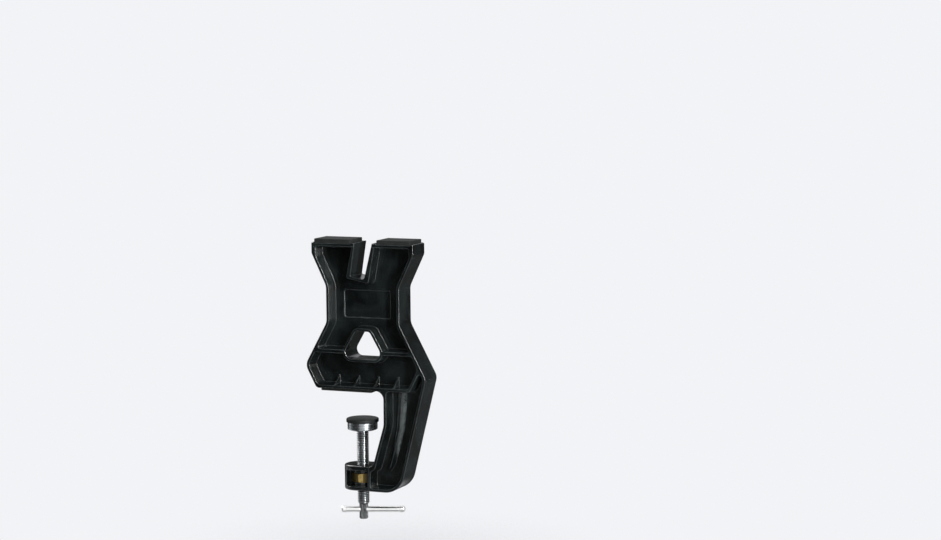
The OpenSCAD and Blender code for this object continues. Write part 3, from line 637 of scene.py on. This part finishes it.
# %% Knurled head
KNURLS = 16
KNURL_DEEP = 0.55 * MM
KNURL_LEAD = 12 * MM
KNURL_END = 0.1 * MM
DIAMOND_SHARE, GROOVE_SHARE = 0.35, 0.65
HEAD_CHAMFER = 0.6 * MM
HEAD_LOW_EDGE, HEAD_TOP_EDGE = 0.7 * MM, 0.5 * MM
HEAD_RINGS = 90
HEAD_SIDES = 132
BORE_R = SPIGOT_R + 0.02 * MM
BORE_DEEPER = 0.1 * MM
head_r = (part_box("screw_head")[1].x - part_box("screw_head")[0].x) / 2


def knurl_radius(z):
    """The radius round the head at height z, as a function of the angle."""
    room = min(z - head_low_z, head_top_z - z)
    largest = head_r - max(0.0, HEAD_CHAMFER - room)
    slant = z / KNURL_LEAD * KNURLS / 2

    def radius(angle):
        turn = angle / (2 * math.pi) * KNURLS
        right, left = (turn + slant) % 1.0, (turn - slant) % 1.0
        groove = max(abs(right - 0.5), abs(left - 0.5)) * 2
        return min(largest, head_r - KNURL_DEEP * max(0.0, (groove - DIAMOND_SHARE) / GROOVE_SHARE))
    return radius


rings = [(head_low_z, head_r - HEAD_LOW_EDGE)]
for i in range(HEAD_RINGS + 1):
    z = head_low_z + KNURL_END + (head_top_z - head_low_z - 2 * KNURL_END) * i / HEAD_RINGS
    rings.append((z, knurl_radius(z)))
rings += [(head_top_z, head_r - HEAD_TOP_EDGE), (head_top_z, BORE_R), (screw_low_z - BORE_DEEPER, BORE_R)]
knurled_head = turned_skin("knurled_head", rings, HEAD_SIDES)
print("knurled head:", len(knurled_head.data.polygons), "faces")

# %% [markdown]
# ## The cross hole
# The bar slides through a round hole across the head and the screw's spigot in it. The rings could be bent
# round the hole, with much more code. A Boolean modifier with a round cutter does what the drill does. Its
# result is kept as the mesh and the cutter is removed, so that nothing more has to be computed later.

# %% Cross hole for the bar
DRILL_SIDES = 64
DRILL_LENGTH = 30 * MM
BAR_PLAY = 0.05 * MM
bar_low, bar_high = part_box("tommy_bar")
bar_z = (bar_low.z + bar_high.z) / 2
bar_r = (bar_high.z - bar_low.z) / 2

for item in (threaded_screw, knurled_head):
    bpy.ops.mesh.primitive_cylinder_add(vertices=DRILL_SIDES, radius=bar_r + BAR_PLAY, depth=DRILL_LENGTH)
    drill = bpy.context.object
    drill.matrix_world = Matrix.Translation(Vector((0, 0, bar_z))) @ Matrix.Rotation(
        math.radians(BAR_TURN_DEGREES), 4, "Z") @ Matrix.Rotation(math.pi / 2, 4, "Y")
    cut = item.modifiers.new("cross_hole", "BOOLEAN")
    cut.operation = "DIFFERENCE"
    cut.solver = "EXACT"
    cut.object = drill
    bpy.context.view_layer.update()
    drilled = item.evaluated_get(bpy.context.evaluated_depsgraph_get())
    shaped = bpy.data.meshes.new_from_object(drilled)
    item.modifiers.clear()
    item.data = shaped
    bpy.data.objects.remove(drill)
    print(item.name, "drilled:", len(item.data.polygons), "faces")

# %% [markdown]
# ## Black oxide
# The head is blackened: a hot oxide bath turns the steel's skin black, and the knurl's crests are painted
# pale steel grey, partly as wear back to the steel and partly as painted highlight. Wear could be found with
# the Pointiness output, which depends on the mesh's density. The crests are simply the points furthest from
# the axis, so their distance decides, broken up by a fine noise.

# %% Black oxide
CREST_FROM, CREST_TO = 0.3 * MM, 0.05 * MM  # below the outer radius
BARE_MM = 1.2

black_steel, tree, shader = new_finish("steel_black_oxide_knurled")
place = add(tree, "ShaderNodeTexCoord").outputs["Object"]
patch = add(tree, "ShaderNodeTexNoise", links={"Vector": place}, values={
    "Scale": 1 / (BARE_MM * MM), "Detail": 5.0, "Roughness": 0.7})
rounded = add(tree, "ShaderNodeBevel", {"samples": 4}, {"Radius": 0.15 * MM})
crest = add(tree, "ShaderNodeMapRange", links={"Value": axis_distance(tree, place)}, values={
    "From Min": head_r - CREST_FROM, "From Max": head_r - CREST_TO, "To Min": 0.0, "To Max": 1.0})
# Pale grey on the knurl's crests: partly wear back to the steel, partly painted highlight.
bare_steel_and_highlight = add(tree, "ShaderNodeValToRGB", links={"Fac": patch.outputs["Fac"]},
           stops=[(0.4, "#3A3C3D"), (0.6, "#A0A3A5")])
wear_and_highlight = add(tree, "ShaderNodeMix", {"data_type": "RGBA"}, {6: linear("#0D0D0E")},
           {0: crest.outputs["Result"], 7: bare_steel_and_highlight.outputs["Color"]})
gloss = add(tree, "ShaderNodeMapRange", links={"Value": patch.outputs["Fac"]}, values={
    "From Min": NOISE_LOW, "From Max": NOISE_HIGH, "To Min": 0.28, "To Max": 0.48})
tree.links.new(wear_and_highlight.outputs[2], shader.inputs["Base Color"])
tree.links.new(gloss.outputs["Result"], shader.inputs["Roughness"])
tree.links.new(rounded.outputs["Normal"], shader.inputs["Normal"])
shader.inputs["Metallic"].default_value = 1.0
knurled_head.data.materials.clear()
knurled_head.data.materials.append(black_steel)
print("knurled head is", black_steel.name)

# %% [markdown]
# ## Riding on the screw
# Screw and head turn as one. Placing them by hand would be right in one pose only, so each rides on the
# screw's body and stands for its CAD node.

# %% Screw and head ride
for item, node, slot in ((threaded_screw, "clamp_screw", "plated_screw"),
                         (knurled_head, "screw_head", "black_steel")):
    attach(item, "screw")
    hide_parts(node)
    print(item.name, "stands for", node)
